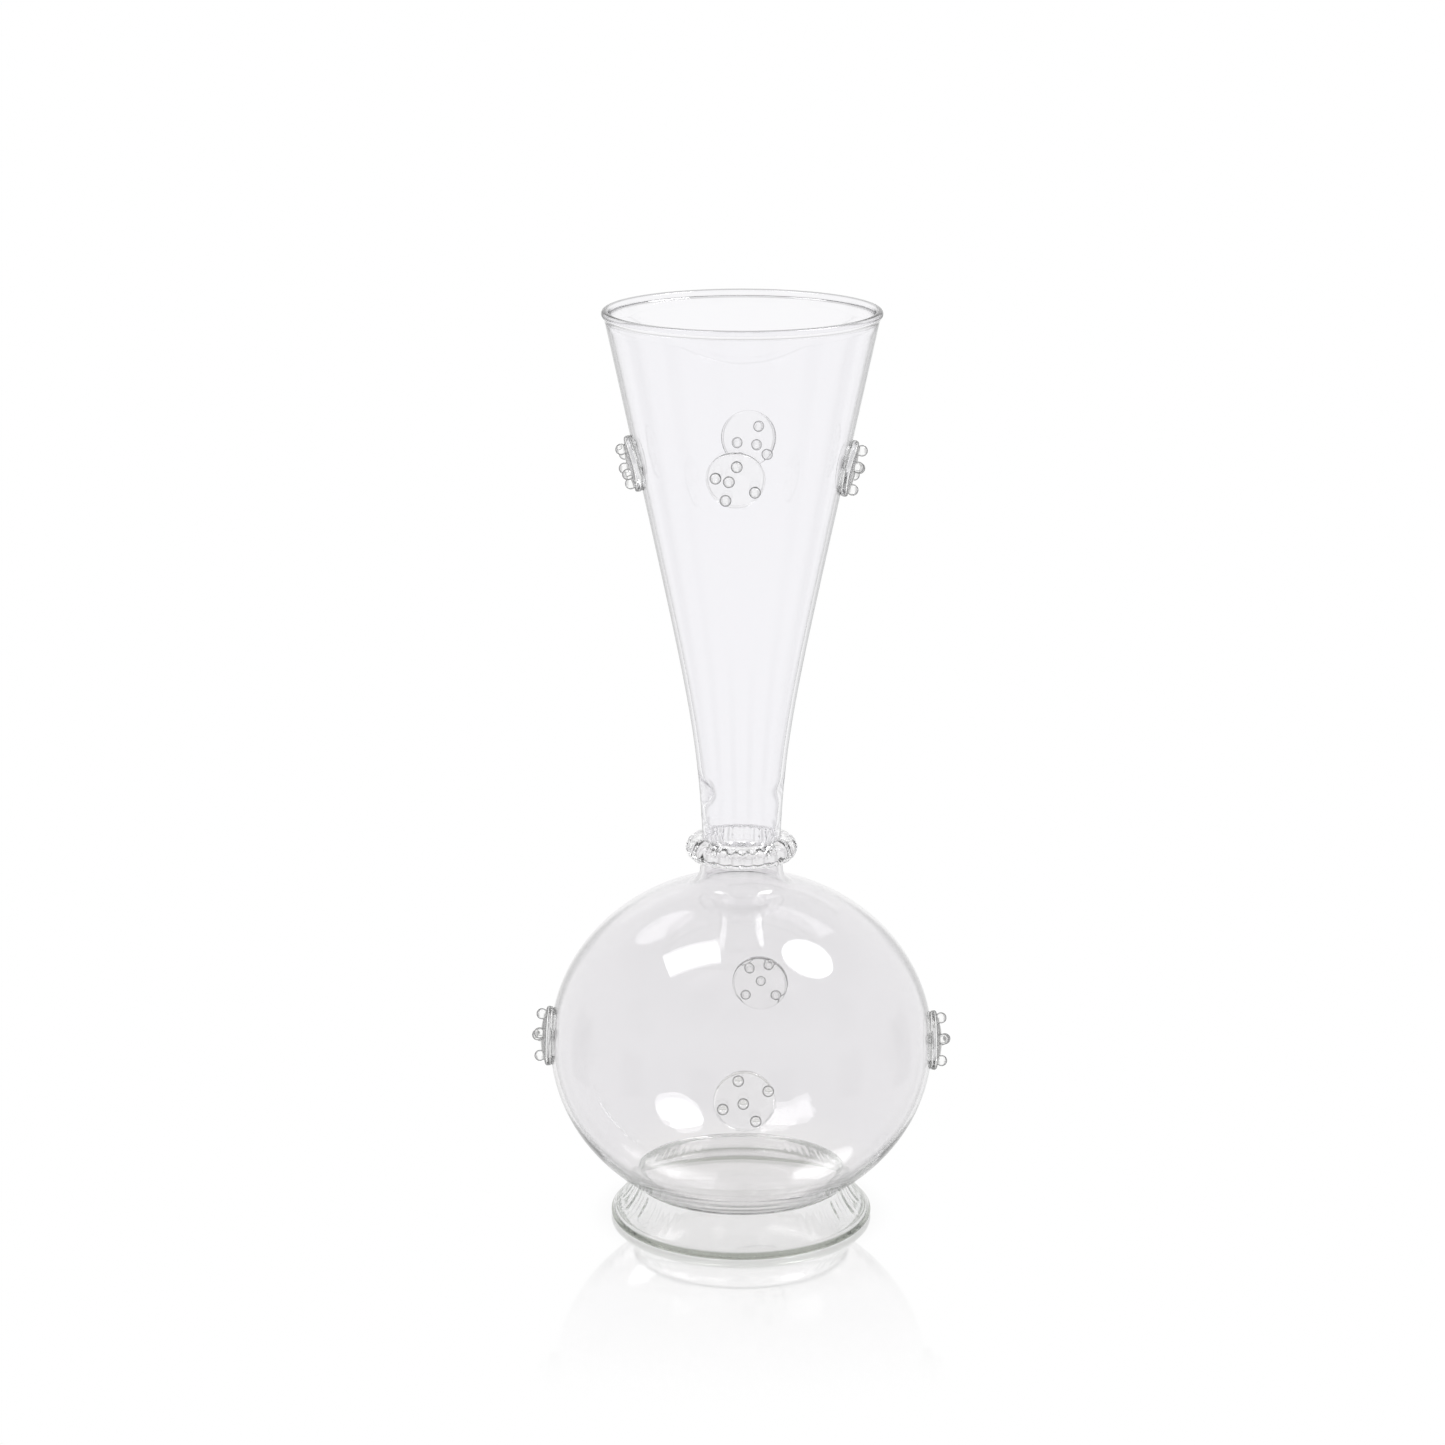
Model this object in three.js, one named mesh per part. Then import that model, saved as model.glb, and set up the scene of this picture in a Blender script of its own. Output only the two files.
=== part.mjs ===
// Clear glass bud vase: a round bowl on a flared foot, a tall trumpet neck, a ribbed collar over the
// neck joint, and eight applied prunts, each one a round pad that carries five small glass drops.
// Millimetres, +Z up. The origin is the middle of the plane that the foot rests on.
import * as THREE from "three";

// Overall
const HEIGHT = 265;
const GAP = 0.3; // left between pieces that are fused on the real vase
const ROUND_STEPS = 40;

// Trumpet neck: an even cone that softens into a nearly straight throat
const THROAT_RADIUS = 10.5;
const CONE_SLOPE = 0.215;
const CONE_START = 134.8;
const CONE_SOFTNESS = 14;
const TRUMPET_WALL_LOW = 1.2;
const TRUMPET_WALL_HIGH = 1.1;
const TRUMPET_ROWS = 9;
const LIP_RADIUS = 1.1;
const LIP_STANDS_PROUD = 0.5;
const LIP_START_DEG = -65;
const LIP_ROOT_DEPTH = 1.76; // how far under the lip's middle the plain wall ends
const LIP_STEPS = 8;

// Joint between neck and bowl, and the ribbed collar over it
const JOINT_HEIGHT = 111;
const COLLAR_INNER_RADIUS = 11.75;
const COLLAR_OUTER_RADIUS = 15.9;
const COLLAR_HALF_HEIGHT = 3.3;
const COLLAR_FULLNESS = 0.7;
const COLLAR_STEPS = 8;
const RIB_COUNT = 26;
const RIB_DEPTH = 0.9;

// Bowl: a slightly flattened ball with a filleted shoulder and a pushed-up base
const BOWL_HALF_WIDTH = 55.1;
const BOWL_HALF_HEIGHT = 49.4;
const BOWL_CENTRE = 52.6;
const BOWL_BASE_DEG = -64.2;
const BOWL_SHOULDER_DEG = 73.6;
const BOWL_STEPS = 14;
const SHOULDER_FILLET = 5;
const FILLET_STEPS = 4;
const BASE_MIDDLE_HEIGHT = 6.5;
const BASE_FLAT_REACH = 10; // of the curve that joins the base's middle to the ball
const BASE_LEAD_DEG = 12;
const BASE_LEAD_DROP = 0.9;
const BASE_STEPS = 5;
const BOWL_WALL = 1.1;
const BOWL_WALL_NECK = 1.2;
const BOWL_WALL_BASE = 1.6;
const NECK_THICKENS = [80, 105]; // heights between which the wall changes
const BASE_THICKENS = [8, 36];

// Foot: a flared ring with a rounded edge and a narrow flat that it rests on
const FOOT_RADIUS = 37.8;
const FOOT_EDGE_RADIUS = 1.2;
const FOOT_FLAT_WIDTH = 1.2;
const FOOT_JOINT_OUTER = 31.0;
const FOOT_JOINT_INNER = 29.4;
const FLARE_WAIST = [34.4, 5.2]; // radius and height that the flare's curve is drawn towards
const HOLLOW_WAIST = [32.0, 5.0];
const FOOT_STEPS = 5;

// Prunts
const NECK_PAD_RADIUS = 7.8;
const BOWL_PAD_RADIUS = 8.2;
const PAD_EDGE_HEIGHT = 1.8;
const PAD_MIDDLE_HEIGHT = 2.8;
const PAD_EDGE_SHARE = 0.94; // of the pad's radius, where its edge starts to round
const PAD_STEPS = 16;
const DROP_RADIUS = 1.4;
const DROP_BASE_RADIUS = 1.15;
const DROP_HEIGHT = 2.1;
const DROP_STEPS = 8;

// Where each prunt sits: the wall that carries it, its height, the way it faces, and the place of its
// five drops on the pad, as [along the wall to the left of someone facing out, up the wall].
const PRUNTS = [
  {
    name: "neck_front",
    wall: coneRadius,
    radius: NECK_PAD_RADIUS,
    height: 223.6,
    facing: -93.7,
    drops: [[0.5, 4.4], [-4.6, 1.0], [-1.4, 0.3], [-2.4, -5.1], [4.9, -2.8]],
  },
  {
    name: "neck_back",
    wall: coneRadius,
    radius: NECK_PAD_RADIUS,
    height: 223.8,
    facing: 85.9,
    drops: [[-2.4, 3.0], [3.2, -1.4], [-2.0, -1.9], [-5.0, -4.4], [2.5, -5.5]],
  },
  {
    name: "neck_left",
    wall: coneRadius,
    radius: NECK_PAD_RADIUS,
    height: 222.3,
    facing: 180,
    drops: [[1.5, 4.4], [-3.8, 2.0], [0.2, -1.0], [4.6, -1.8], [-1.4, -5.6]],
  },
  {
    name: "neck_right",
    wall: coneRadius,
    radius: NECK_PAD_RADIUS,
    height: 220.9,
    facing: 0,
    drops: [[0.6, 4.9], [-4.2, 1.4], [0.2, 0.3], [4.0, -2.4], [-1.8, -5.3]],
  },
  {
    name: "bowl_front",
    wall: bowlRadius,
    radius: BOWL_PAD_RADIUS,
    height: 54.7,
    facing: -89.4,
    drops: [[-1.6, 5.9], [-0.3, 0.3], [6.1, 3.2], [-5.5, -1.4], [2.9, -4.6]],
  },
  {
    name: "bowl_back",
    wall: bowlRadius,
    radius: BOWL_PAD_RADIUS,
    height: 51.8,
    facing: 83.7,
    drops: [[3.2, 3.8], [-2.3, 5.1], [0, -0.1], [4.3, -4.2], [-4.4, -4.0]],
  },
  {
    name: "bowl_left",
    wall: bowlRadius,
    radius: BOWL_PAD_RADIUS,
    height: 54.0,
    facing: 180,
    drops: [[-2.0, 5.4], [4.2, 2.2], [0, 0.2], [-4.4, -1.6], [1.6, -5.0]],
  },
  {
    name: "bowl_right",
    wall: bowlRadius,
    radius: BOWL_PAD_RADIUS,
    height: 52.7,
    facing: 0,
    drops: [[1.2, 5.8], [-4.4, 1.8], [0.2, 0.3], [4.6, -1.6], [-1.6, -5.2]],
  },
];

const BLOWN_GLASS = { color: 0xeceef1, roughness: 0.02, metalness: 0, transparent: true, opacity: 0.35 };
const APPLIED_GLASS = { color: 0xe4e8e6, roughness: 0.03, metalness: 0, transparent: true, opacity: 0.45 };

const mix = THREE.MathUtils.lerp;
const rad = THREE.MathUtils.degToRad;
const ease = THREE.MathUtils.smoothstep;

// Outside radius of the trumpet neck at a height.
function coneRadius(z) {
  const risen = Math.log1p(Math.exp((z - CONE_START) / CONE_SOFTNESS));
  return THROAT_RADIUS + CONE_SLOPE * CONE_SOFTNESS * risen;
}

// Outside radius of the bowl at a height.
function bowlRadius(z) {
  const rise = (z - BOWL_CENTRE) / BOWL_HALF_HEIGHT;
  return BOWL_HALF_WIDTH * Math.sqrt(1 - rise * rise);
}

// Point of the bowl's outside at an angle above its equator, pushed out by a distance.
function bowlPoint(deg, out = 0) {
  const across = Math.cos(rad(deg));
  const along = Math.sin(rad(deg));
  const normal = new THREE.Vector2(across / BOWL_HALF_WIDTH, along / BOWL_HALF_HEIGHT).normalize();
  const point = new THREE.Vector2(BOWL_HALF_WIDTH * across, BOWL_CENTRE + BOWL_HALF_HEIGHT * along);
  return point.addScaledVector(normal, out);
}

// Angle above the bowl's equator at which its outside has a radius, on the lower half.
function bowlLowerDeg(radius) {
  return -THREE.MathUtils.radToDeg(Math.acos(radius / BOWL_HALF_WIDTH));
}

// Points of an arc about a centre, from one angle to another.
function arc(x, z, radius, fromDeg, toDeg, steps) {
  return Array.from({ length: steps + 1 }, (_, i) => {
    const angle = rad(mix(fromDeg, toDeg, i / steps));
    return new THREE.Vector2(x + radius * Math.cos(angle), z + radius * Math.sin(angle));
  });
}

// A solid of revolution about Z. The profile runs up the outside and down the inside.
function turned(profile, steps = ROUND_STEPS) {
  return new THREE.LatheGeometry(profile, steps).rotateX(Math.PI / 2);
}

function closed(profile) {
  return [...profile, profile[0].clone()];
}

function trumpetNeck() {
  const low = JOINT_HEIGHT + GAP / 2;
  const lipHeight = HEIGHT - LIP_RADIUS;
  const lipMiddle = coneRadius(lipHeight) + LIP_STANDS_PROUD - LIP_RADIUS;
  const high = lipHeight - LIP_ROOT_DEPTH;
  const outside = [];
  const inside = [];
  for (let i = 0; i <= TRUMPET_ROWS; i++) {
    // The rows crowd towards the throat, where the neck curves.
    const part = (i / TRUMPET_ROWS) ** 1.5;
    const z = mix(low, high, part);
    const wall = mix(TRUMPET_WALL_LOW, TRUMPET_WALL_HIGH, part);
    outside.push(new THREE.Vector2(coneRadius(z), z));
    inside.unshift(new THREE.Vector2(coneRadius(z) - wall, z));
  }
  const lip = arc(lipMiddle, lipHeight, LIP_RADIUS, LIP_START_DEG, 180, LIP_STEPS);
  return turned(closed([...outside, ...lip, ...inside]));
}

// The wall grows from its thin middle to a sturdier neck and a heavy base.
function bowlWall(z) {
  const towardsNeck = ease(z, ...NECK_THICKENS);
  const towardsBase = 1 - ease(z, ...BASE_THICKENS);
  const neckExtra = (BOWL_WALL_NECK - BOWL_WALL) * towardsNeck;
  return BOWL_WALL + neckExtra + (BOWL_WALL_BASE - BOWL_WALL) * towardsBase;
}

// The bowl's outside from the middle of its base to the top of its neck.
function bowlOutside() {
  const edge = bowlPoint(BOWL_BASE_DEG);
  const lead = bowlPoint(BOWL_BASE_DEG - BASE_LEAD_DEG);
  const base = new THREE.CubicBezierCurve(
    new THREE.Vector2(0, BASE_MIDDLE_HEIGHT),
    new THREE.Vector2(BASE_FLAT_REACH, BASE_MIDDLE_HEIGHT),
    new THREE.Vector2(lead.x, lead.y - BASE_LEAD_DROP),
    edge,
  ).getPoints(BASE_STEPS);
  const ball = Array.from({ length: BOWL_STEPS }, (_, i) =>
    bowlPoint(mix(BOWL_BASE_DEG, BOWL_SHOULDER_DEG, (i + 1) / BOWL_STEPS)),
  );
  const hub = bowlPoint(BOWL_SHOULDER_DEG, SHOULDER_FILLET);
  const shoulder = ball.at(-1).clone().sub(hub);
  const startDeg = THREE.MathUtils.radToDeg(shoulder.angle());
  const fillet = arc(hub.x, hub.y, SHOULDER_FILLET, startDeg, 180, FILLET_STEPS).slice(1);
  const top = new THREE.Vector2(coneRadius(JOINT_HEIGHT), JOINT_HEIGHT - GAP / 2);
  return [...base, ...ball, ...fillet, top];
}

// The inside is the outside moved in along its normals by the wall.
function bowlBody() {
  const outside = bowlOutside();
  const inside = outside.map((point, i) => {
    const before = outside[Math.max(i - 1, 0)];
    const after = outside[Math.min(i + 1, outside.length - 1)];
    const along = after.clone().sub(before).normalize();
    const moved = new THREE.Vector2(-along.y, along.x).multiplyScalar(bowlWall(point.y));
    return point.clone().add(moved);
  });
  inside[0].x = 0;
  inside.at(-1).y = outside.at(-1).y;
  return turned([...outside, ...inside.reverse()]);
}

function footRing() {
  const edgeMiddle = FOOT_RADIUS - FOOT_EDGE_RADIUS;
  const flatInner = edgeMiddle - FOOT_FLAT_WIDTH;
  const edge = arc(edgeMiddle, FOOT_EDGE_RADIUS, FOOT_EDGE_RADIUS, -90, 40, FOOT_STEPS);
  const seatRadii = [FOOT_JOINT_OUTER, (FOOT_JOINT_OUTER + FOOT_JOINT_INNER) / 2, FOOT_JOINT_INNER];
  const seat = seatRadii.map((radius) => bowlPoint(bowlLowerDeg(radius), GAP));
  const flare = new THREE.QuadraticBezierCurve(
    edge.at(-1),
    new THREE.Vector2(...FLARE_WAIST),
    seat[0],
  ).getPoints(FOOT_STEPS);
  const heel = new THREE.Vector2(flatInner - FOOT_EDGE_RADIUS, FOOT_EDGE_RADIUS);
  const hollow = new THREE.QuadraticBezierCurve(
    seat.at(-1),
    new THREE.Vector2(...HOLLOW_WAIST),
    heel,
  ).getPoints(FOOT_STEPS);
  const inner = arc(flatInner, FOOT_EDGE_RADIUS, FOOT_EDGE_RADIUS, 180, 270, FOOT_STEPS - 1);
  const joined = [...edge, ...flare.slice(1), ...seat.slice(1), ...hollow.slice(1), ...inner.slice(1)];
  return turned(closed(joined));
}

// A band with a rounded face, pinched into ribs that fade out towards the neck.
function neckCollar() {
  const width = COLLAR_OUTER_RADIUS - COLLAR_INNER_RADIUS;
  const section = Array.from({ length: COLLAR_STEPS + 1 }, (_, i) => {
    const angle = rad(mix(-90, 90, i / COLLAR_STEPS));
    const out = Math.max(Math.cos(angle), 0) ** COLLAR_FULLNESS;
    const z = JOINT_HEIGHT + COLLAR_HALF_HEIGHT * Math.sin(angle);
    return new THREE.Vector2(COLLAR_INNER_RADIUS + width * out, z);
  });
  const geometry = turned(closed(section), 2 * RIB_COUNT);
  const place = geometry.attributes.position;
  for (let i = 0; i < place.count; i++) {
    const point = new THREE.Vector3().fromBufferAttribute(place, i);
    const radius = Math.hypot(point.x, point.y);
    const pinched = 0.5 - 0.5 * Math.cos(RIB_COUNT * Math.atan2(point.y, point.x));
    const outness = Math.max(radius - COLLAR_INNER_RADIUS, 0) / width;
    const scale = 1 - (RIB_DEPTH * pinched * outness) / radius;
    place.setXY(i, point.x * scale, point.y * scale);
  }
  return geometry;
}

// A point above the wall that carries a prunt, in the frame of the prunt's group: x points out of
// the wall, y along it and z up it. u and v are lengths along and up the wall, w is above it.
function onWall(prunt, u, v, w) {
  const z = prunt.height + v;
  const slope = (prunt.wall(z + 0.01) - prunt.wall(z - 0.01)) / 0.02;
  const lean = Math.hypot(1, slope);
  const radius = prunt.wall(z) + w / lean;
  const angle = u / prunt.wall(prunt.height);
  return new THREE.Vector3(radius * Math.cos(angle), radius * Math.sin(angle), v - (w * slope) / lean);
}

// Height of a pad's domed face above the wall.
function padTop(prunt, u, v) {
  const part = (u * u + v * v) / (prunt.radius * prunt.radius);
  return mix(PAD_MIDDLE_HEIGHT, PAD_EDGE_HEIGHT, part);
}

// A round pad whose back follows the wall.
function padGeometry(prunt) {
  const edge = PAD_EDGE_SHARE * prunt.radius;
  const halfway = edge / 2;
  const profile = [
    new THREE.Vector2(0, GAP),
    new THREE.Vector2(halfway, GAP),
    new THREE.Vector2(edge, GAP),
    new THREE.Vector2(prunt.radius, (PAD_EDGE_HEIGHT + GAP) / 2),
    new THREE.Vector2(edge, padTop(prunt, edge, 0)),
    new THREE.Vector2(halfway, padTop(prunt, halfway, 0)),
    new THREE.Vector2(0, PAD_MIDDLE_HEIGHT),
  ];
  const geometry = new THREE.LatheGeometry(profile, PAD_STEPS);
  const place = geometry.attributes.position;
  for (let i = 0; i < place.count; i++) {
    const point = onWall(prunt, place.getZ(i), place.getX(i), place.getY(i));
    place.setXYZ(i, point.x, point.y, point.z);
  }
  return geometry;
}

// A drop of glass with a flat underside, standing on Y.
function dropGeometry() {
  const middle = DROP_HEIGHT - DROP_RADIUS;
  const profile = [
    new THREE.Vector2(0, 0),
    new THREE.Vector2(DROP_BASE_RADIUS, 0),
    ...arc(0, middle, DROP_RADIUS, -5, 90, 3),
  ];
  profile.at(-1).x = 0;
  return new THREE.LatheGeometry(profile, DROP_STEPS);
}

// Stands a drop on the pad, square to the pad's face.
function placeDrop(mesh, prunt, u, v) {
  const step = 0.1;
  const face = (a, b) => onWall(prunt, a, b, padTop(prunt, a, b));
  const across = face(u + step, v).sub(face(u - step, v));
  const upward = face(u, v + step).sub(face(u, v - step));
  const normal = across.cross(upward).normalize();
  mesh.position.copy(face(u, v)).addScaledVector(normal, GAP);
  mesh.quaternion.setFromUnitVectors(new THREE.Vector3(0, 1, 0), normal);
}

function named(name, geometry, look) {
  const mesh = new THREE.Mesh(geometry, new THREE.MeshStandardMaterial(look));
  mesh.name = name;
  return mesh;
}

function pruntGroup(prunt) {
  const group = new THREE.Group();
  group.position.z = prunt.height;
  group.rotation.z = rad(prunt.facing);
  group.add(named(`${prunt.name}_pad`, padGeometry(prunt), APPLIED_GLASS));
  prunt.drops.forEach(([u, v], i) => {
    const drop = named(`${prunt.name}_drop_${i + 1}`, dropGeometry(), APPLIED_GLASS);
    placeDrop(drop, prunt, u, v);
    group.add(drop);
  });
  return group;
}

const vase = new THREE.Group();
vase.add(named("trumpet_neck", trumpetNeck(), BLOWN_GLASS));
vase.add(named("bowl_body", bowlBody(), BLOWN_GLASS));
vase.add(named("neck_collar", neckCollar(), APPLIED_GLASS));
vase.add(named("foot_ring", footRing(), APPLIED_GLASS));
PRUNTS.forEach((prunt) => vase.add(pruntGroup(prunt)));

export default vase;
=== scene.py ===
import math

import bpy
import numpy as np
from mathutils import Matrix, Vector


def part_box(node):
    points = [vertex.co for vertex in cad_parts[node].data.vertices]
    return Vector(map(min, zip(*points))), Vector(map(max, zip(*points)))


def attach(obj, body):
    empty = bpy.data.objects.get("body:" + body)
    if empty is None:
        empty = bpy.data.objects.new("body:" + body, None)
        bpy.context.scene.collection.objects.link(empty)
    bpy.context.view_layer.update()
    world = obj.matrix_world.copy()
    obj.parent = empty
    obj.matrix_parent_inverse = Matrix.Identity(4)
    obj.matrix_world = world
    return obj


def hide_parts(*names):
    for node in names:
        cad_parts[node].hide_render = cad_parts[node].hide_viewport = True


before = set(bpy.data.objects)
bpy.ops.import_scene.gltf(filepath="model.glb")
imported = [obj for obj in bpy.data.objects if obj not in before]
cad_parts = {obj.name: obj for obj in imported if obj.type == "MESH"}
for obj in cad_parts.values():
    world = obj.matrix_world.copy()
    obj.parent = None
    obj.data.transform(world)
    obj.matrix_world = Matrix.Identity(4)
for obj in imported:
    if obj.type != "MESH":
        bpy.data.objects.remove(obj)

# Looks of a hand-blown clear glass bud vase, on the fixed frame of its structural model.
# Metres, +Z up, the origin in the middle of the plane that the foot rests on.

MM = 0.001
TURN = 2 * math.pi

# ---------------------------------------------------------------- sizes

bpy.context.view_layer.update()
neck_low, neck_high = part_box("trumpet_neck")
bowl_low, bowl_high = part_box("bowl_body")
collar_low, collar_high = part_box("neck_collar")

RIM_HEIGHT = neck_high.z
JOINT_HEIGHT = (neck_low.z + bowl_high.z) / 2
FUSE = 0.1 * MM  # how deep a fused piece sinks into what it sits on

# Trumpet neck: an even cone that softens into a nearly straight throat
THROAT_RADIUS = 10.5 * MM
CONE_SLOPE = 0.215
CONE_START = 134.8 * MM
CONE_SOFTNESS = 14 * MM
NECK_WALL_LOW = 1.2 * MM
NECK_WALL_HIGH = 1.1 * MM
LIP_RADIUS = 1.1 * MM
LIP_STANDS_PROUD = 0.5 * MM

# Where the throat was joined hot, seen on its inside
JOIN_HEIGHT = 127.5 * MM
JOIN_HALF_HEIGHT = 2.6 * MM
JOIN_RING = 0.35 * MM
JOIN_FOLD = 1.15 * MM
FOLD_ANGLE = math.radians(186)
FOLD_HALF_ANGLE = 0.55
SEAM_HEIGHT = 118.2 * MM
SEAM_HALF_HEIGHT = 0.9 * MM
SEAM_SWELL = 0.22 * MM

# Bowl: a slightly flattened ball
BOWL_HALF_WIDTH = 55.1 * MM
BOWL_HALF_HEIGHT = 49.4 * MM
BOWL_CENTRE = 52.6 * MM
BOWL_BASE_DEG = -64.2
BOWL_SHOULDER_DEG = 73.6
SHOULDER_FILLET = 5 * MM
BASE_MIDDLE_HEIGHT = bowl_low.z + 0.7 * MM
BASE_FLAT_RADIUS = 10 * MM
BOWL_WALL = 1.1 * MM
BOWL_WALL_NECK = 1.2 * MM
BOWL_WALL_BASE = 1.6 * MM
BASE_RING_SWELL = 0.1 * MM
BASE_RING_SPACING = 2.4 * MM
BASE_RING_HEIGHT = 15 * MM
BASE_RING_HALF_HEIGHT = 5 * MM

# Foot
FOOT_RADIUS = 37.8 * MM
FOOT_EDGE_RADIUS = 1.2 * MM
FOOT_FLAT_WIDTH = 1.2 * MM
FOOT_JOINT_OUTER = 31.0 * MM
FOOT_JOINT_INNER = 29.4 * MM
DRAW_LINE_SWELL = 0.035 * MM

# Collar
COLLAR_OUTER_RADIUS = collar_high.x
COLLAR_HALF_HEIGHT = (collar_high.z - collar_low.z) / 2
COLLAR_ROWS = 36  # rows on its outside; the rows after them are its back, on the neck
COLLAR_BACK_ROWS = 4
COLLAR_FULLNESS = 0.7  # below 1 the section is fuller than a circle's
RIB_COUNT = 26
RIB_DEPTH = 0.6 * MM
RIB_SHARPNESS = 1.6

# Prunts
PAD_ROUND_EDGE = 0.75 * MM
PAD_EDGE_HEIGHT = 1.8 * MM
PAD_MIDDLE_HEIGHT = 2.8 * MM
DROP_RADIUS = 1.6 * MM
DROP_STAND = 2.5 * MM
DROP_FOOT_RADIUS = 1.32 * MM
DROP_MIDDLE_ABOVE_PAD = 1.35 * MM
DROPS_ON_A_PAD = 5


# ---------------------------------------------------------------- outlines


def ease(value, low, high):
    """Smooth step: 3t^2 - 2t^3 with t the part of the way from low to high, held to 0..1."""
    t = np.clip((value - low) / (high - low), 0, 1)
    return t * t * (3 - 2 * t)


def bell(value, middle, width):
    """e^-(x^2) with x the distance from the middle in widths."""
    return np.exp(-(((value - middle) / width) ** 2))


def cone_radius(z):
    """Outside radius of the neck: throat plus slope times a softened ramp, ln(1 + e^x)."""
    risen = np.logaddexp(0, (z - CONE_START) / CONE_SOFTNESS)
    return THROAT_RADIUS + CONE_SLOPE * CONE_SOFTNESS * risen


def bowl_radius(z):
    """Outside radius of the bowl: the ellipse's half width at a height."""
    rise = (z - BOWL_CENTRE) / BOWL_HALF_HEIGHT
    return BOWL_HALF_WIDTH * np.sqrt(1 - rise * rise)


def bowl_points(degrees, out=0.0):
    """Points of the bowl's ellipse at angles above its equator, moved out along its normals."""
    a = np.radians(degrees)
    normal = np.stack([np.cos(a) / BOWL_HALF_WIDTH, np.sin(a) / BOWL_HALF_HEIGHT], -1)
    normal /= np.linalg.norm(normal, axis=-1, keepdims=True)
    across = BOWL_HALF_WIDTH * np.cos(a)
    return np.stack([across, BOWL_CENTRE + BOWL_HALF_HEIGHT * np.sin(a)], -1) + normal * out


def bowl_lower_deg(radius):
    """Angle above the equator at which the ellipse's lower half has a radius."""
    return -math.degrees(math.acos(radius / BOWL_HALF_WIDTH))


def bowl_wall(z):
    """Wall thickness of the bowl: thin in the middle, sturdier at the neck, heavy at the base."""
    to_neck = ease(z, 80 * MM, 105 * MM)
    to_base = 1 - ease(z, 8 * MM, 36 * MM)
    neck_extra = (BOWL_WALL_NECK - BOWL_WALL) * to_neck
    return BOWL_WALL + neck_extra + (BOWL_WALL_BASE - BOWL_WALL) * to_base


def arc(x, z, radius, from_deg, to_deg, steps):
    """Points of a circle about (x, z) between two angles."""
    a = np.radians(np.linspace(from_deg, to_deg, steps + 1))
    return np.stack([x + radius * np.cos(a), z + radius * np.sin(a)], -1)


def bezier(points, steps):
    """Bernstein sum over two, three or four control points."""
    t = np.linspace(0, 1, steps + 1)[:, None]
    degree = len(points) - 1
    return sum(
        math.comb(degree, k) * (1 - t) ** (degree - k) * t**k * np.array(point)
        for k, point in enumerate(points)
    )


def neck_outline():
    """Closed outline of the neck's wall: up the cone, round the lip, down the inside. Its rows
    lie closest where the throat was joined."""
    low = JOINT_HEIGHT - FUSE
    lip_height = RIM_HEIGHT - LIP_RADIUS
    lip_middle = cone_radius(lip_height) + LIP_STANDS_PROUD - LIP_RADIUS
    high = lip_height - 1.6 * LIP_RADIUS
    part = np.linspace(0, 1, 105) ** 1.5
    z = low + (high - low) * part
    wall = NECK_WALL_LOW + (NECK_WALL_HIGH - NECK_WALL_LOW) * part
    outside = np.stack([cone_radius(z), z], -1)
    inside = np.stack([cone_radius(z) - wall, z], -1)[::-1]
    lip = arc(lip_middle, lip_height, LIP_RADIUS, -65, 180, 24)
    end = bezier([inside[-1], outside[0]], 4)[1:-1]
    return np.concatenate([outside, lip, inside, end])


def bowl_outline():
    """Outline of the bowl from the axis under its base, up the outside to the neck, and back
    down the inside to the axis: a Bezier base, an ellipse, a filleted shoulder, a short neck.
    The inside is the outside moved in along its normals by the wall."""
    edge = bowl_points(BOWL_BASE_DEG)
    following = bowl_points(BOWL_BASE_DEG - 12)
    lowest = (following[0], following[1] - 0.9 * MM)
    middle = (0, BASE_MIDDLE_HEIGHT)
    base = bezier([middle, (BASE_FLAT_RADIUS, BASE_MIDDLE_HEIGHT), lowest, edge], 30)
    ball = bowl_points(np.linspace(BOWL_BASE_DEG, BOWL_SHOULDER_DEG, 90))[1:]
    hub = bowl_points(BOWL_SHOULDER_DEG, SHOULDER_FILLET)
    start = math.degrees(math.atan2(ball[-1][1] - hub[1], ball[-1][0] - hub[0])) % 360
    fillet = arc(hub[0], hub[1], SHOULDER_FILLET, start, 180, 14)[1:]
    top = (cone_radius(JOINT_HEIGHT), JOINT_HEIGHT + FUSE)
    neck = bezier([fillet[-1], top], 10)[1:]
    outside = np.concatenate([base, ball, fillet, neck])
    along = np.gradient(outside, axis=0)
    along /= np.linalg.norm(along, axis=1, keepdims=True)
    inward = np.stack([-along[:, 1], along[:, 0]], -1)
    inside = outside + inward * bowl_wall(outside[:, 1])[:, None]
    inside[0, 0] = 0
    inside[-1, 1] = outside[-1, 1]
    top_face = bezier([outside[-1], inside[-1]], 4)[1:-1]
    return np.concatenate([outside, top_face, inside[::-1]])


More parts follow.
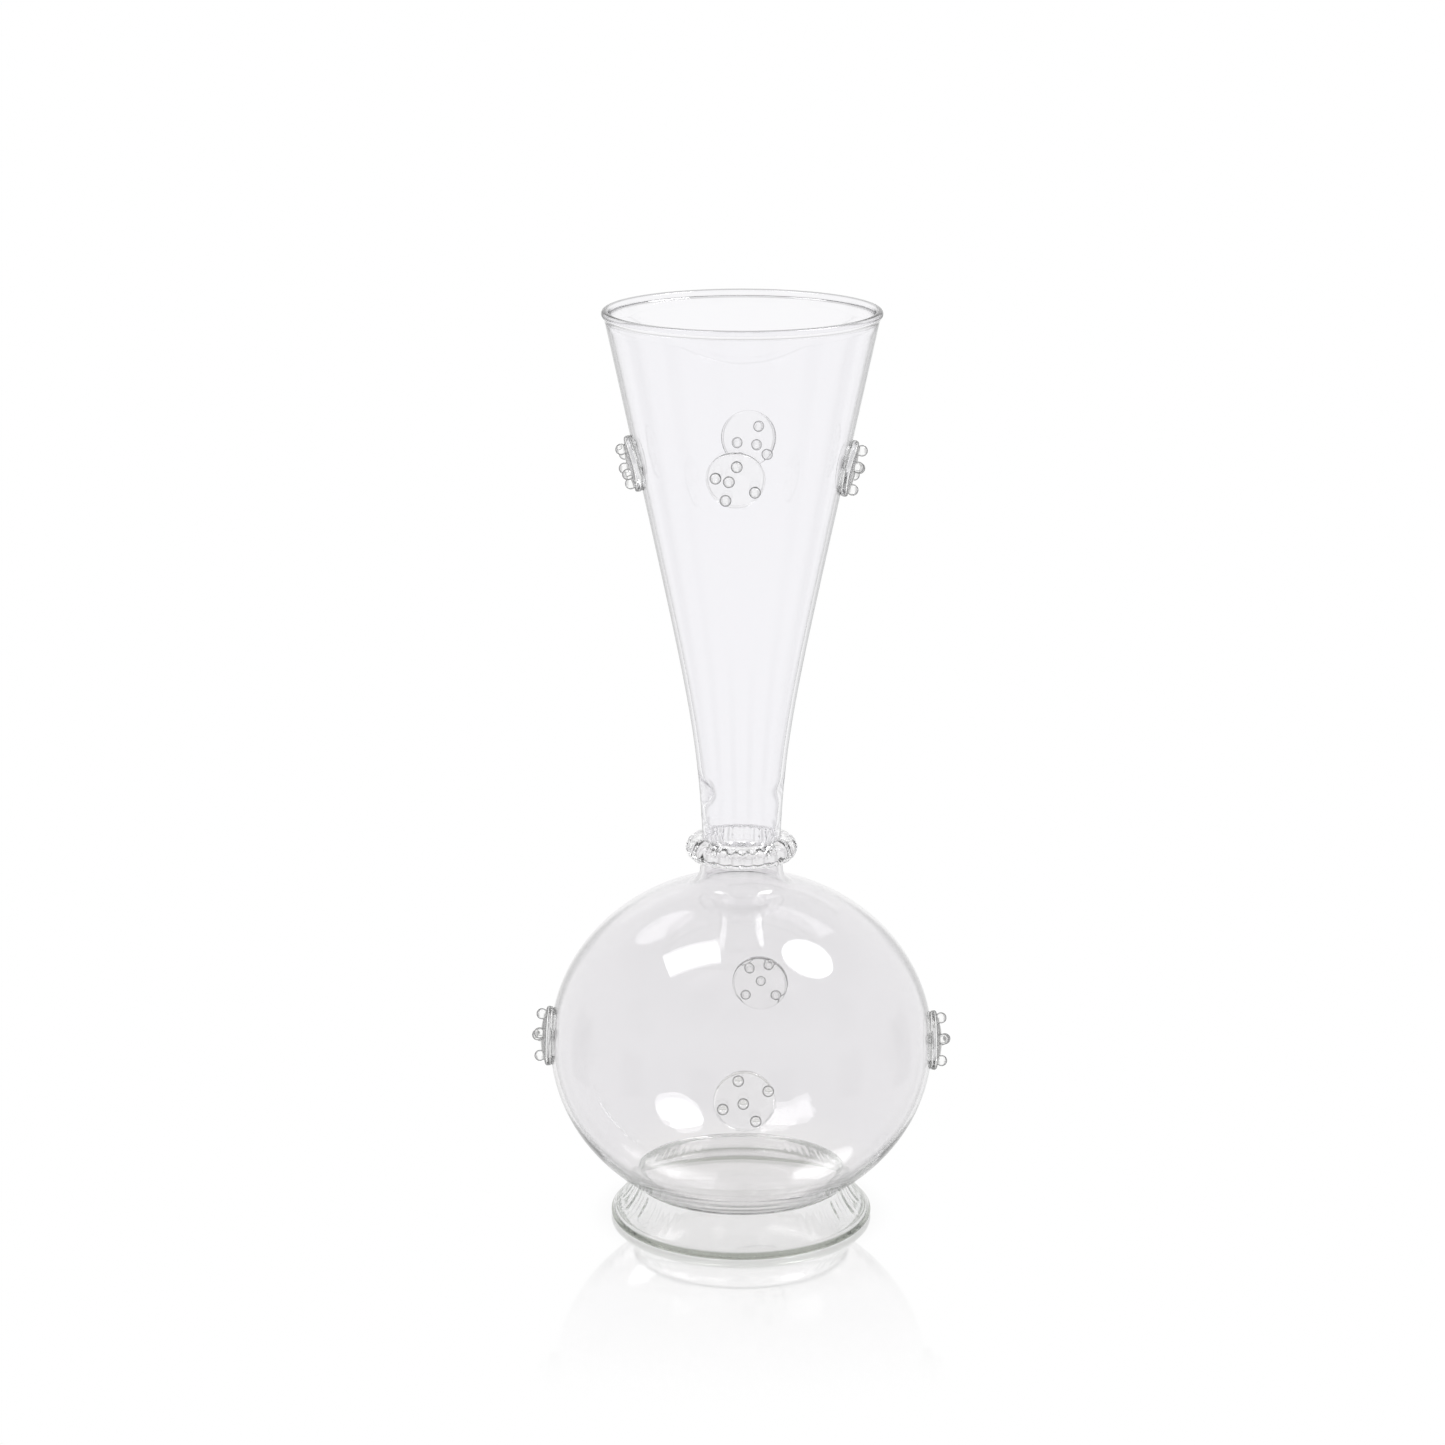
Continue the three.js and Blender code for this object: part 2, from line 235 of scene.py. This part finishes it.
def foot_outline():
    """Closed outline of the foot: rounded edge, flare, seat on the bowl, hollow, heel, flat."""
    edge_middle = FOOT_RADIUS - FOOT_EDGE_RADIUS
    heel_middle = edge_middle - FOOT_FLAT_WIDTH
    edge = arc(edge_middle, FOOT_EDGE_RADIUS, FOOT_EDGE_RADIUS, -90, 40, 16)
    seat_degs = np.linspace(bowl_lower_deg(FOOT_JOINT_OUTER), bowl_lower_deg(FOOT_JOINT_INNER), 8)
    seat = bowl_points(seat_degs, -FUSE)
    flare = bezier([edge[-1], (34.6 * MM, 5.0 * MM), (30.1 * MM, 9.6 * MM), seat[0]], 28)[1:]
    heel = arc(heel_middle, FOOT_EDGE_RADIUS, FOOT_EDGE_RADIUS, 180, 270, 12)
    hollow = bezier([seat[-1], (28.9 * MM, 9.2 * MM), (32.4 * MM, 4.6 * MM), heel[0]], 28)[1:]
    flat = bezier([heel[-1], edge[0]], 3)[1:-1]
    return np.concatenate([edge, flare, seat[1:], hollow, heel[1:], flat])


# ---------------------------------------------------------------- marks of the making


def on_inside(row):
    """0 on an outline's first half, which goes up the outside, and 1 once it is well past the
    lip on its way down the inside. row is the part of the outline that is behind."""
    return ease(row, 0.5, 0.6)


def throat_folds(angle, z, row):
    """The throat's inside where it was joined hot: a low ring all round, a thicker fold on one
    side, and a wavering seam just above the collar. Bell curves in height and angle."""
    side = np.angle(np.exp(1j * (angle - FOLD_ANGLE)))
    ring = JOIN_RING * bell(z, JOIN_HEIGHT, JOIN_HALF_HEIGHT)
    fold = JOIN_FOLD * bell(z, JOIN_HEIGHT + 0.5 * MM, JOIN_HALF_HEIGHT + 0.1 * MM)
    waver = (0.9 * np.sin(angle - 0.7) + 0.5 * np.sin(3 * angle)) * MM
    seam = SEAM_SWELL * bell(z, SEAM_HEIGHT + waver, SEAM_HALF_HEIGHT)
    return -on_inside(row) * (ring + fold * bell(side, 0, FOLD_HALF_ANGLE) + seam)


def base_rings(angle, z, row):
    """Shallow rings inside the bowl above its seat, left by the tool that pressed the base: a
    sine wave up the wall whose phase wanders with the angle, felt only low on the inside."""
    wander = 0.8 * np.sin(angle + 0.4) + 0.4 * np.sin(3 * angle)
    wave = np.sin(TURN * z / BASE_RING_SPACING + wander)
    felt = on_inside(row) * bell(z, BASE_RING_HEIGHT, BASE_RING_HALF_HEIGHT)
    return BASE_RING_SWELL * felt * wave


def draw_lines(angle, z, row):
    """Fine lines that run up the flare where it was drawn out: three sine waves in angle, felt
    on the flare and the hollow but not on the edge or the seat."""
    waves = np.sin(31 * angle + 1.0) + 0.9 * np.sin(53 * angle + 2.0) + 0.8 * np.sin(83 * angle)
    felt = ease(z, 2.5 * MM, 5.5 * MM) * (1 - ease(z, 8.5 * MM, 10.0 * MM))
    return DRAW_LINE_SWELL * waves * felt * (1 + 0.8 * np.cos(2 * angle))


# ---------------------------------------------------------------- surfaces


def grid_faces(rows, columns, wrap_rows):
    """Quads of a grid whose columns close on themselves, and its rows too if asked."""
    last = rows if wrap_rows else rows - 1
    i, j = np.meshgrid(np.arange(last), np.arange(columns), indexing="ij")
    up, on = (i + 1) % rows, (j + 1) % columns
    corners = [i * columns + j, i * columns + on, up * columns + on, up * columns + j]
    return np.stack(corners, -1).reshape(-1, 4)


def signed_volume(points, quads):
    """Sum of the tetrahedra from the origin to the two triangles of each quad."""
    total = 0.0
    for second, third in ((1, 2), (2, 3)):
        a, b, c = points[quads[:, 0]], points[quads[:, second]], points[quads[:, third]]
        total += np.einsum("ij,ij->", a, np.cross(b, c)) / 6
    return total


def skin(name, grid, material, node, poles=False, fused=None):
    """A closed piece from a grid of points (rows, columns, 3). Its columns run round. Its rows
    close on themselves, or end in two points on the axis, which fans of triangles reach.
    fused says row by row how far its glass is one with the glass of the next piece."""
    rows, columns = grid.shape[:2]
    if poles:
        points = np.concatenate([grid[1:-1].reshape(-1, 3), grid[0, :1], grid[-1, :1]])
        quads = grid_faces(rows - 2, columns, False)
        ring = np.arange(columns)
        after = (ring + 1) % columns
        first, last = len(points) - 2, len(points) - 1
        top = (rows - 3) * columns
        fans = np.concatenate([
            np.stack([np.full(columns, first), after, ring], -1),
            np.stack([np.full(columns, last), top + ring, top + after], -1),
        ])
    else:
        points = grid.reshape(-1, 3)
        quads = grid_faces(rows, columns, True)
        fans = np.zeros((0, 3), int)
    if signed_volume(points, quads) < 0:
        quads, fans = quads[:, ::-1], fans[:, ::-1]
    mesh = bpy.data.meshes.new(name)
    mesh.from_pydata(points.tolist(), [], quads.tolist() + fans.tolist())
    mesh.shade_smooth()
    if fused is not None:
        share = np.repeat(fused, columns).astype(np.float32)
        if poles:
            share = np.concatenate([share[columns:-columns], fused[:1], fused[-1:]])
        mesh.attributes.new("fused", "FLOAT", "POINT").data.foreach_set("value", share)
    mesh.materials.append(material)
    piece = bpy.data.objects.new(name, mesh)
    bpy.context.scene.collection.objects.link(piece)
    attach(piece, "root")
    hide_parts(node)
    return piece


def revolve(outline, columns, swell):
    """Grid of an outline turned about Z. swell(angle, z, row) adds to the radius, off the axis."""
    angle = np.linspace(0, TURN, columns, endpoint=False)[None, :]
    radius, z = outline[:, :1], outline[:, 1:]
    row = np.linspace(0, 1, len(outline))[:, None]
    radius = radius + swell(angle, z, row) * (radius > 0.01 * MM)
    z = np.broadcast_to(z, radius.shape)
    return np.stack([radius * np.cos(angle), radius * np.sin(angle), z], -1)


def collar_grid():
    """The ribbed band: half a superellipse on the neck's wall, pinched into ribs round it by a
    raised cosine whose spacing and depth wander a little. Its back lies in the neck's wall."""

    def heights(from_deg, to_deg, count):
        section = np.radians(np.linspace(from_deg, to_deg, count))[:, None]
        return section, JOINT_HEIGHT + COLLAR_HALF_HEIGHT * np.sin(section)

    def in_wall(z):
        return cone_radius(np.maximum(z, JOINT_HEIGHT)) - 2 * FUSE

    columns = RIB_COUNT * 16
    angle = np.linspace(0, TURN, columns, endpoint=False)[None, :]
    section, z = heights(-90, 90, COLLAR_ROWS)
    out = np.maximum(np.cos(section), 0) ** COLLAR_FULLNESS
    swing = RIB_COUNT * (angle + 0.02 * np.sin(5 * angle + 1.0))
    pinch = (0.5 - 0.5 * np.cos(swing)) ** RIB_SHARPNESS
    deep = RIB_DEPTH * (1 + 0.25 * np.sin(3 * angle + 0.6)) * ease(out, 0.2, 0.9)
    face = in_wall(z) + (COLLAR_OUTER_RADIUS - in_wall(z)) * out - deep * pinch
    back_z = heights(90, -90, COLLAR_BACK_ROWS + 2)[1][1:-1]
    radius = np.concatenate([face, in_wall(back_z) + 0 * angle])
    z = np.concatenate([z, back_z]) + 0 * angle
    return np.stack([radius * np.cos(angle), radius * np.sin(angle), z], -1)


def wall_slope(wall, z):
    """How fast a wall's radius grows with height: the difference over a hundredth of a mm."""
    step = 0.01 * MM
    return (wall(z + step) - wall(z - step)) / (2 * step)


def on_wall(wall, facing, height, u, v, w):
    """Points above a wall of revolution: u along it, v up it, w out of it along its normal."""
    z = height + v
    slope = wall_slope(wall, z)
    radius = wall(z) + w / np.hypot(1, slope)
    z = z - w * slope / np.hypot(1, slope)
    angle = facing + u / wall(height)
    return np.stack([radius * np.cos(angle), radius * np.sin(angle), z], -1)


def pad_grid(wall, facing, height, radius):
    """A domed disc wrapped on the wall. Its section runs out along the back, round the edge by
    two quarter circles and back along a parabola to the face's middle."""
    flat = radius - PAD_ROUND_EDGE
    back = np.stack([np.linspace(0, flat, 10), np.full(10, -FUSE)], -1)
    low = arc(flat, PAD_ROUND_EDGE - FUSE, PAD_ROUND_EDGE, -90, 0, 6)[1:]
    across = np.linspace(flat, 0, 14)
    fall = (PAD_EDGE_HEIGHT - PAD_MIDDLE_HEIGHT) * (across / radius) ** 2
    dome = np.stack([across, PAD_MIDDLE_HEIGHT + fall], -1)
    high = arc(flat, dome[0, 1] - PAD_ROUND_EDGE, PAD_ROUND_EDGE, 0, 80, 6)
    section = np.concatenate([back, low, high, dome])
    turn = np.linspace(0, TURN, 72, endpoint=False)
    u = section[:, :1] * np.cos(turn)
    v = section[:, :1] * np.sin(turn)
    w = section[:, 1:] + 0 * u
    return on_wall(wall, facing, height, u, v, w)


def drop_grid(middle, normal):
    """A ball of glass slumped on its pad: a circle of revolution about the pad's normal, cut
    under its middle and flared a little where it touches."""
    up = np.array(normal)
    side = np.cross(up, (0, 0, 1.0))
    side /= np.linalg.norm(side)
    other = np.cross(up, side)
    ball = arc(0, DROP_STAND - DROP_RADIUS, DROP_RADIUS, -38, 90, 16)
    ball[-1, 0] = 0
    foot_edge = (DROP_FOOT_RADIUS, -FUSE)
    flare = bezier([foot_edge, (1.1 * MM, 0.12 * MM), ball[0]], 4)[:-1]
    under = bezier([(0, -FUSE), foot_edge], 3)[:-1]
    section = np.concatenate([under, flare, ball])
    turn = np.linspace(0, TURN, 28, endpoint=False)[None, :, None]
    ring = np.cos(turn) * side + np.sin(turn) * other
    return np.array(middle) + section[:, :1, None] * ring + section[:, 1:, None] * up


# ---------------------------------------------------------------- shader maths


class Graph:
    """A node tree that is built up by calls to node."""

    def __init__(self, tree):
        self.tree = tree
        tree.nodes.clear()

    def node(self, kind, settings=None, sockets=None, output=0):
        """Adds a node, sets its settings, then its sockets by value or link, gives an output."""
        made = self.tree.nodes.new(kind)
        for name, value in (settings or {}).items():
            setattr(made, name, value)
        for name, value in (sockets or {}).items():
            if isinstance(value, Signal):
                self.tree.links.new(value.socket, made.inputs[name])
            else:
                made.inputs[name].default_value = value
        return Signal(self, made.outputs[output]) if made.outputs else None

    def place(self):
        return self.node("ShaderNodeTexCoord", output="Object")

    def height(self):
        return self.node("ShaderNodeSeparateXYZ", sockets={"Vector": self.place()}, output="Z")

    def distance(self, place):
        """How far a place is from the origin."""
        return self.node("ShaderNodeVectorMath", {"operation": "LENGTH"}, {0: place}, "Value")

    def mix(self, share, first, second):
        """The first colour where the share is 0, the second where it is 1."""
        return self.node("ShaderNodeMix", {"data_type": "RGBA"}, {0: share, 6: first, 7: second}, 2)


class Signal:
    """A socket's value, which adds Math nodes when it is used in an expression."""

    def __init__(self, graph, socket):
        self.graph = graph
        self.socket = socket

    def math(self, operation, first, second):
        return self.graph.node("ShaderNodeMath", {"operation": operation}, {0: first, 1: second})

    def __add__(self, other):
        return self.math("ADD", self, other)

    __radd__ = __add__

    def __mul__(self, other):
        return self.math("MULTIPLY", self, other)

    __rmul__ = __mul__

    def __rsub__(self, other):
        return self.math("SUBTRACT", other, self)

    def larger(self, other):
        return self.math("MAXIMUM", self, other)

    def ramp(self, low, high):
        """0 below low, 1 above high, smooth between."""
        settings = {"interpolation_type": "SMOOTHSTEP"}
        sockets = {"Value": self, "From Min": low, "From Max": high}
        return self.graph.node("ShaderNodeMapRange", settings, sockets)


# ---------------------------------------------------------------- glass

# How much a face turns from the eye, 0 to 1, where the painted edge shade begins and where it is full
THIN_EDGE = (0.76, 0.93)
NECK_EDGE = (0.72, 0.91)
PAD_EDGE = (0.5, 0.9)
THICK_EDGE = (0.18, 0.62)

GLASS_IOR = 1.48
# Painted light: a paler face tint that lightens the faces of the bowl's base
BASE_FACE_PAINTED_LIGHT = (0.945, 0.938, 0.925, 1)


def lip_shade_lines(graph, share, face):
    """Painted shade: a dark line on top of the lip, and a fainter one in the crease under it."""
    height = graph.height()
    top = height.ramp(RIM_HEIGHT - 0.4 * MM, RIM_HEIGHT - 0.12 * MM)
    above = height.ramp(RIM_HEIGHT - 2.5 * MM, RIM_HEIGHT - 2.3 * MM)
    crease = above * (1 - height.ramp(RIM_HEIGHT - 2.2 * MM, RIM_HEIGHT - 2.0 * MM))
    return share.larger(0.75 * top).larger(0.4 * crease), face


def shade_and_light_by_height(graph, share, face):
    """The painted edge shade fades to a quarter up the bowl, and painted light makes the faces of the
    base paler.
    """
    height = graph.height()
    share = share * (1 - 0.75 * height.ramp(30 * MM, 100 * MM))
    return share, graph.mix(height.ramp(8 * MM, 20 * MM), BASE_FACE_PAINTED_LIGHT, face)


def foot_edge_shade_line(graph, share, face):
    """Painted shade: a dark line round the outermost part of the foot's edge."""
    flat = graph.node("ShaderNodeVectorMath", {"operation": "MULTIPLY"}, {0: graph.place(), 1: (1, 1, 0)})
    out = graph.distance(flat)
    return share.larger(out.ramp(FOOT_RADIUS - 0.9 * MM, FOOT_RADIUS - 0.4 * MM)), face


def clear_glass(name, face, edge, edge_shade_range, depth_tint, density, joined=False, by_place=None):
    """Smooth clear glass: a faint tint at each face, partly the glass's own colour and partly painted
    shade, which deepens to a painted edge shade where light grazes the face, and a tint that grows
    with the path inside. by_place changes the share of the painted edge shade and the face tint
    from place to place. joined glass opens where it is fused."""
    material = bpy.data.materials.new(name)
    material.use_nodes = True
    graph = Graph(material.node_tree)
    turned = graph.node("ShaderNodeLayerWeight", sockets={"Blend": 0.5}, output="Facing")
    share, face_tint_and_shade = turned.ramp(*edge_shade_range), (*face, 1)
    if by_place is not None:
        share, face_tint_and_shade = by_place(graph, share, face_tint_and_shade)
    surface = graph.node("ShaderNodeBsdfPrincipled", sockets={
        "Base Color": graph.mix(share, face_tint_and_shade, (*edge, 1)),
        "Roughness": 0.0,
        "IOR": GLASS_IOR,
        "Transmission Weight": 1.0,
    })
    inside = {"Color": (*depth_tint, 1), "Density": density}
    volume = graph.node("ShaderNodeVolumeAbsorption", sockets=inside)
    if joined:
        fused = graph.node("ShaderNodeAttribute", {"attribute_name": "fused"}, output="Fac")
        open_glass = graph.node("ShaderNodeBsdfTransparent")
        surface = graph.node("ShaderNodeMixShader", sockets={0: fused, 1: surface, 2: open_glass})
    graph.node("ShaderNodeOutputMaterial", sockets={"Surface": surface, "Volume": volume})
    return material


# Each glass's face tint is partly its own faint colour and partly painted shade, greyest on the bowl; its
# edge colour is the painted edge shade.
neck_glass = clear_glass(
    "neck_glass", (0.963, 0.96, 0.974), (0.16, 0.16, 0.16), NECK_EDGE, (0.55, 0.53, 0.58), 20.0,
    joined=True, by_place=lip_shade_lines,
)
bowl_glass = clear_glass(
    "bowl_glass", (0.893, 0.886, 0.896), (0.16, 0.16, 0.16), THIN_EDGE, (0.54, 0.53, 0.55), 12.0,
    joined=True, by_place=shade_and_light_by_height,
)
foot_glass = clear_glass(
    "foot_glass", (0.95, 0.946, 0.95), (0.22, 0.24, 0.2), THIN_EDGE, (0.5, 0.55, 0.5), 25.0,
    joined=True, by_place=foot_edge_shade_line,
)
collar_glass = clear_glass(
    "collar_glass", (0.985, 0.985, 0.985), (0.5, 0.5, 0.5), THIN_EDGE, (0.6, 0.6, 0.6), 6.0,
    joined=True,
)
pad_glass = clear_glass(
    "pad_glass", (0.995, 0.995, 0.99), (0.1, 0.1, 0.09), PAD_EDGE, (0.55, 0.6, 0.55), 8.0
)
drop_glass = clear_glass(
    "drop_glass", (0.995, 0.995, 0.992), (0.02, 0.02, 0.02), THICK_EDGE, (0.55, 0.6, 0.55), 8.0
)


# ---------------------------------------------------------------- studio

WHITE = (1, 1, 1, 1)
CAMERA_LENS = 95.2
CAMERA_PLACE = (-0.0054, -1.042, 0.426)
CAMERA_LOOKS_DOWN = 14.96
LIGHT_BOUNCES = 32  # light runs far inside the thick glass of the base and the collar
PANEL_COUNT = 8
GAP_SHARE = 0.42
CEILING_SHARE = 0.3
ROOM_GREY = 0.42
FLOOR_HALF_WIDTH = 0.16
FLOOR_UNDER_FOOT = (0.86, 0.86, 0.86, 1)
SOFTBOX_DISTANCE = 1.25


def make_camera():
    """A long lens a metre away, looking down a little from above the mouth."""
    lens = bpy.data.cameras.new("camera")
    lens.lens = CAMERA_LENS
    lens.clip_start = 0.01
    lens.clip_end = 50
    camera = bpy.data.objects.new("camera", lens)
    camera.location = CAMERA_PLACE
    camera.rotation_euler = (math.radians(90 - CAMERA_LOOKS_DOWN), 0, 0)
    bpy.context.scene.collection.objects.link(camera)
    bpy.context.scene.camera = camera


def make_world():
    """White panels all round with grey gaps between them, under a grey ceiling. Seen bare, it
    is all white."""
    world = bpy.data.worlds.new("studio")
    bpy.context.scene.world = world
    world.use_nodes = True
    graph = Graph(world.node_tree)
    direction = graph.node("ShaderNodeTexCoord", output="Generated")
    axes = graph.node("ShaderNodeSeparateXYZ", sockets={"Vector": direction})
    x, y, z = (Signal(graph, socket) for socket in axes.socket.node.outputs)
    swing = PANEL_COUNT * y.math("ARCTAN2", y, x)
    between = (-1 * swing.math("COSINE", swing, 0.0)).ramp(0.0, 0.9)
    low_band = z.ramp(-0.59, -0.47) * (1 - z.ramp(0.05, 0.16))
    grey = (GAP_SHARE * between * low_band).larger(CEILING_SHARE * z.ramp(0.4, 0.7))
    bare = graph.node("ShaderNodeLightPath", output="Is Camera Ray")
    strength = (1 - (1 - ROOM_GREY) * grey).larger(bare)
    room = graph.node("ShaderNodeBackground", sockets={"Color": WHITE, "Strength": strength})
    graph.node("ShaderNodeOutputWorld", sockets={"Surface": room})


def make_floor():
    """A pale sheet, a little shaded under the foot, that mirrors faintly near the vase."""
    size = FLOOR_HALF_WIDTH
    corners = [(-size, -size, 0), (size, -size, 0), (size, size, 0), (-size, size, 0)]
    mesh = bpy.data.meshes.new("floor")
    mesh.from_pydata(corners, [], [(0, 1, 2, 3)])
    material = bpy.data.materials.new("floor_white")
    material.use_nodes = True
    graph = Graph(material.node_tree)
    out = graph.distance(graph.place())
    sheen = 0.2 * (1 - out.ramp(0.06, 0.14)) + 0.22 * (1 - out.ramp(0.045, 0.07))
    shade = graph.mix(out.ramp(0.03, 0.046), FLOOR_UNDER_FOOT, WHITE)
    glow = graph.node("ShaderNodeEmission", sockets={"Color": shade, "Strength": 1.0})
    mirror = graph.node("ShaderNodeBsdfAnisotropic", sockets={"Color": WHITE, "Roughness": 0.04})
    both = graph.node("ShaderNodeMixShader", sockets={0: sheen, 1: glow, 2: mirror})
    graph.node("ShaderNodeOutputMaterial", sockets={"Surface": both})
    mesh.materials.append(material)
    floor = bpy.data.objects.new("floor", mesh)
    bpy.context.scene.collection.objects.link(floor)


def make_softbox(name, shape, width, height, towards, radiance):
    """An area lamp of a given brightness that faces the vase from a direction."""
    lamp = bpy.data.lights.new(name, "AREA")
    lamp.shape = shape
    lamp.size = width
    lamp.size_y = height
    area = width * height * (math.pi / 4 if shape == "ELLIPSE" else 1)
    lamp.energy = radiance * math.pi * area
    holder = bpy.data.objects.new(name, lamp)
    way = Vector(towards).normalized()
    holder.location = Vector((0, 0, BOWL_CENTRE)) + way * SOFTBOX_DISTANCE
    holder.rotation_mode = "QUATERNION"
    holder.rotation_quaternion = way.to_track_quat("Z", "Y")
    bpy.context.scene.collection.objects.link(holder)


make_camera()
make_world()
make_floor()
make_softbox("right_softbox", "ELLIPSE", 0.55, 0.55, (0.50, 0.06, 0.85), 6.0)
make_softbox("left_softbox", "RECTANGLE", 0.37, 0.58, (-0.38, 0.01, 0.92), 4.0)
bpy.context.scene.view_settings.view_transform = "Standard"
for kind in ("max_bounces", "glossy_bounces", "transmission_bounces"):
    setattr(bpy.context.scene.cycles, kind, LIGHT_BOUNCES)


# ---------------------------------------------------------------- pieces


def on_seat(grid):
    """1 for each row that lies on the seat between bowl and foot, 0 for the others: its radius
    is the seat's, and it is no further from the bowl's outside than the fused depth."""
    radius, z = np.hypot(grid[:, 0, 0], grid[:, 0, 1]), grid[:, 0, 2]
    slack = 0.05 * MM
    across = (radius > FOOT_JOINT_INNER - slack) & (radius < FOOT_JOINT_OUTER + slack)
    depth = np.abs(radius - bowl_radius(np.clip(z, BASE_MIDDLE_HEIGHT, BOWL_CENTRE)))
    return (across & (depth < 2.5 * FUSE)).astype(float)


def under_collar(grid):
    """1 for each row on the collar's joint: level with the collar, and on the outside of the
    wall or between its two sides, but not on its inside."""
    radius, z = np.hypot(grid[:, 0, 0], grid[:, 0, 1]), grid[:, 0, 2]
    level = np.abs(z - JOINT_HEIGHT) < COLLAR_HALF_HEIGHT - FUSE
    inner = cone_radius(np.maximum(z, JOINT_HEIGHT)) - 0.9 * NECK_WALL_LOW
    return (level & (radius > inner)).astype(float)


def make_neck():
    grid = revolve(neck_outline(), 384, throat_folds)
    joined = under_collar(grid)
    skin("blown_trumpet_neck", grid, neck_glass, "trumpet_neck", fused=joined)


def make_bowl():
    grid = revolve(bowl_outline(), 320, base_rings)
    joined = np.maximum(on_seat(grid), under_collar(grid))
    skin("blown_bowl", grid, bowl_glass, "bowl_body", poles=True, fused=joined)


def make_foot():
    grid = revolve(foot_outline(), 720, draw_lines)
    skin("flared_foot", grid, foot_glass, "foot_ring", fused=on_seat(grid))


def make_collar():
    grid = collar_grid()
    back = (np.arange(len(grid)) >= COLLAR_ROWS).astype(float)
    skin("ribbed_collar", grid, collar_glass, "neck_collar", fused=back)


def wall_normal(wall, point):
    """The unit normal of a wall of revolution at the height and angle of a point."""
    flat = Vector((point.x, point.y, 0)).normalized()
    return Vector((flat.x, flat.y, -float(wall_slope(wall, point.z)))).normalized()


def make_prunt(place, wall):
    """A pad and its drops, each where its fixed piece is."""
    low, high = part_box(f"{place}_pad")
    middle = (low + high) / 2
    facing = math.atan2(middle.y, middle.x)
    pad = pad_grid(wall, facing, middle.z, (high.z - low.z) / 2)
    skin(f"{place}_prunt_pad", pad, pad_glass, f"{place}_pad", poles=True)
    for number in range(1, DROPS_ON_A_PAD + 1):
        node = f"{place}_drop_{number}"
        low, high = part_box(node)
        centre = (low + high) / 2
        normal = wall_normal(wall, centre)
        drop = drop_grid(centre - normal * DROP_MIDDLE_ABOVE_PAD, normal)
        name = f"{place}_prunt_drop_{number}"
        skin(name, drop, drop_glass, node, poles=True)


make_neck()
make_bowl()
make_foot()
make_collar()
for side in ("front", "back", "left", "right"):
    make_prunt(f"neck_{side}", cone_radius)
    make_prunt(f"bowl_{side}", bowl_radius)
